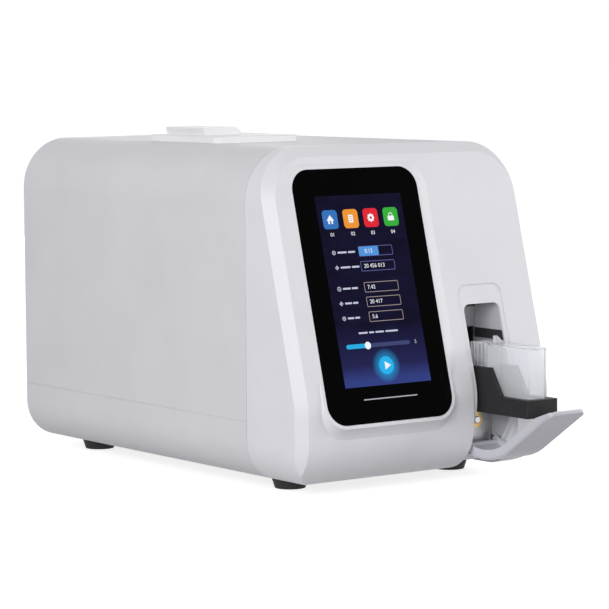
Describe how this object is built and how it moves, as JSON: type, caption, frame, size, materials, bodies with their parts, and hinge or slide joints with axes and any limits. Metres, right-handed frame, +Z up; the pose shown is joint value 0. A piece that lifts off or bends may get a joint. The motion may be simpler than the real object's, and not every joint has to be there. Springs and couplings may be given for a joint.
{
  "type": "glycated hemoglobin analyzer",
  "caption": "Bench-top blood analyzer with a portrait touch screen, a motor-driven reagent tray behind a drop-down flap and a receipt printer in its top.",
  "frame": {"origin": "on the table, halfway across the housing and halfway between the tip of the open flap and the rearmost face", "axes": "+X to the right seen from the front, +Y to the rear, +Z up"},
  "size_m": [0.26, 0.5104, 0.288],
  "materials": {
    "housing_shell": "fine satin moulding",
    "front_shell": "fine satin moulding",
    "screen_glass": "polished, black printed from behind",
    "display_panel": "smooth display surface",
    "light_guide": "frosted light guide",
    "sheet_metal": "zinc plated sheet",
    "circuit_board": "green solder mask",
    "electronic_parts": "moulded black",
    "flap_grey": "satin moulding",
    "flap_light_grey": "satin moulding",
    "bright_steel": "bright",
    "brass_parts": "machined",
    "tray_black": "satin moulding",
    "cartridge_plastic": "translucent white",
    "motor_case": "black with bare end caps",
    "reader_metal": "machined",
    "lamp_housing": "moulded black",
    "heater_foil": "amber film on metal",
    "liner_plastic": "satin moulding",
    "strip_dark": "low friction strip",
    "foot_rubber": "matt rubber",
    "rear_panel_grey": "fine texture paint",
    "socket_black": "moulded black",
    "port_metal": "tinned shell",
    "fan_black": "moulded black",
    "printer_white": "fine satin moulding",
    "platen_rubber": "ground rubber on a steel shaft",
    "print_head_black": "ceramic and moulding",
    "paper": "smooth thermal paper",
    "paper_core": "pressed card"
  },
  "bodies": {
    "housing": {"upper_housing": "housing_shell", "lower_housing": "housing_shell", "front_housing": "front_shell", "touch_glass": "screen_glass", "lcd_module": "display_panel", "status_light": "light_guide", "display_bracket": "sheet_metal", "drive_bracket": "sheet_metal", "chassis_plate": "sheet_metal", "power_supply": "sheet_metal", "display_board": "circuit_board", "main_board": "circuit_board", "detector_board": "circuit_board", "board_components": "electronic_parts", "flap_pin": "bright_steel", "lid_pin": "bright_steel", "guide_rods": "bright_steel", "foot_screws": "bright_steel", "panel_screws": "bright_steel", "chassis_screws": "bright_steel", "fan_screws": "bright_steel", "tear_bar": "bright_steel", "fan_guard": "bright_steel", "board_standoffs": "brass_parts", "screw_bearing": "brass_parts", "tray_motor": "motor_case", "reader_block": "reader_metal", "lamp_module": "lamp_housing", "heater_plate": "heater_foil", "slot_liner": "liner_plastic", "guide_strips": "strip_dark", "feet": "foot_rubber", "rear_panel": "rear_panel_grey", "power_inlet": "socket_black", "switch_frame": "socket_black", "usb_ports": "port_metal", "network_port": "port_metal", "fan_frame": "fan_black", "printer_base": "printer_white", "print_head": "print_head_black"},
    "tray": {"tray": "tray_black", "tray_carriage": "tray_black", "lead_nut": "brass_parts", "cartridge": "cartridge_plastic", "cartridge_tail": "cartridge_plastic", "sample_holder": "cartridge_plastic"},
    "flap": {"flap_cover": "flap_grey", "flap_frame": "flap_light_grey"},
    "drive_screw": {"lead_screw": "bright_steel"},
    "printer_lid": {"printer_lid": "printer_white"},
    "platen": {"platen_roller": "platen_rubber"},
    "paper": {"paper_roll": "paper", "roll_core": "paper_core"},
    "rocker": {"power_rocker": "socket_black"},
    "fan": {"fan_rotor": "fan_black"}
  },
  "joints": [
    {"name": "tray_slide", "type": "slide", "parent": "housing", "child": "tray", "axis": [0, 1, 0], "range_m": [0, 0.08]},
    {"name": "flap_hinge", "type": "hinge", "parent": "housing", "child": "flap", "pos_m": [0.06785, -0.14602, 0.02875], "axis": [-1, 0, 0], "range_deg": [0, 71]},
    {"name": "screw_spin", "type": "hinge", "parent": "housing", "child": "drive_screw", "pos_m": [0.06785, -0.1, 0.048], "axis": [0, -1, 0], "range_deg": [0, 1440]},
    {"name": "lid_hinge", "type": "hinge", "parent": "housing", "child": "printer_lid", "pos_m": [-0.0785, 0.07356, 0.279], "axis": [0, -1, 0], "range_deg": [0, 90]},
    {"name": "platen_spin", "type": "hinge", "parent": "printer_lid", "child": "platen", "pos_m": [-0.017, 0.07356, 0.2735], "axis": [0, 1, 0], "continuous": true},
    {"name": "paper_spin", "type": "hinge", "parent": "housing", "child": "paper", "pos_m": [-0.05, 0.07356, 0.2463], "axis": [0, 1, 0], "continuous": true},
    {"name": "power_switch", "type": "hinge", "parent": "housing", "child": "rocker", "pos_m": [-0.018, 0.24896, 0.097], "axis": [-1, 0, 0], "range_deg": [0, 14]},
    {"name": "fan_spin", "type": "hinge", "parent": "housing", "child": "fan", "pos_m": [0.052, 0.2445, 0.174], "axis": [0, 1, 0], "continuous": true}
  ],
  "couplings": [
    {"joint": "flap_hinge", "follows": "tray_slide", "rad_per_m": 15.49},
    {"joint": "screw_spin", "follows": "tray_slide", "rad_per_m": 314.16}
  ]
}
